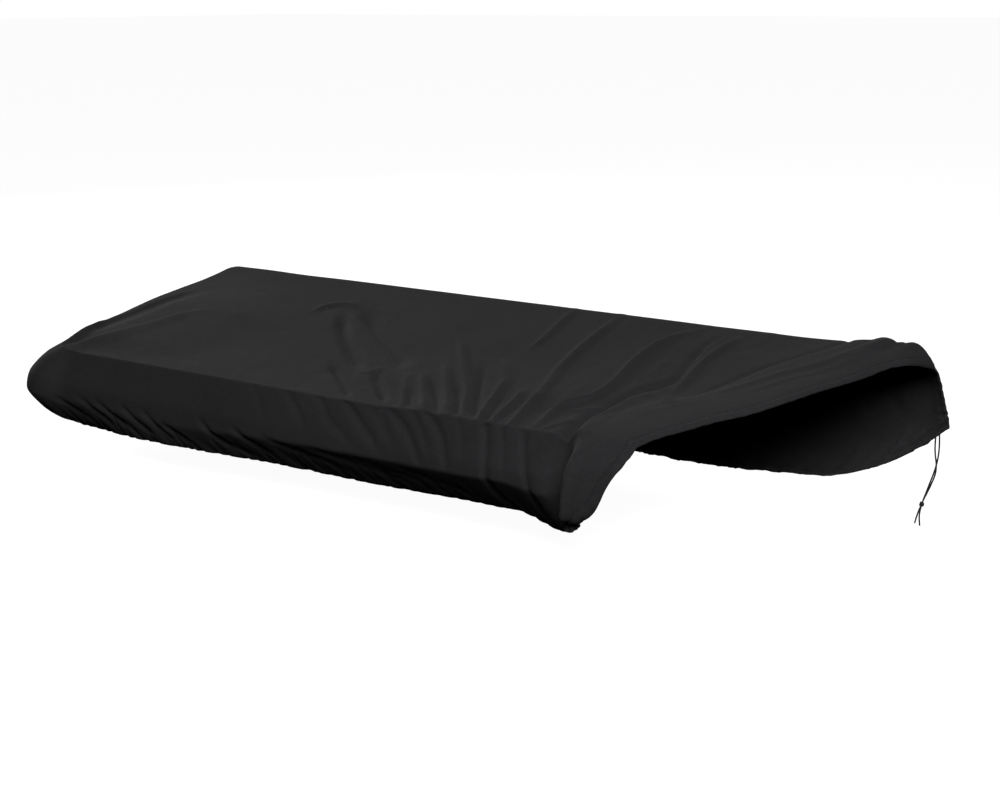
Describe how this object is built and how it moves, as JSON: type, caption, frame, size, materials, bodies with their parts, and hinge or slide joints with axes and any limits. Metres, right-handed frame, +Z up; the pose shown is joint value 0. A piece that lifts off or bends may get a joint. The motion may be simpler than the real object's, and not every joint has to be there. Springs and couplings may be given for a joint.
{
  "type": "keyboard dust cover",
  "caption": "Fitted stretch-cloth dust cover for an electronic keyboard, drawn back at its right front corner, with a drawstring hem.",
  "frame": {"origin": "underside of the top cloth, at the middle of the space that the cover is cut to, in length and in depth", "axes": "+X towards the open right end, along the length; +Y towards the higher back; +Z up"},
  "size_m": [1.2349, 0.4538, 0.2382],
  "materials": {
    "cover_cloth": "matte knitted stretch cloth with a soft sheen",
    "drawstring_cord": "matte braided cord"
  },
  "bodies": {
    "root": {"cover": "cover_cloth", "drawstring_right": "drawstring_cord", "drawstring_left": "drawstring_cord", "drawstring_knot": "drawstring_cord"}
  },
  "joints": []
}
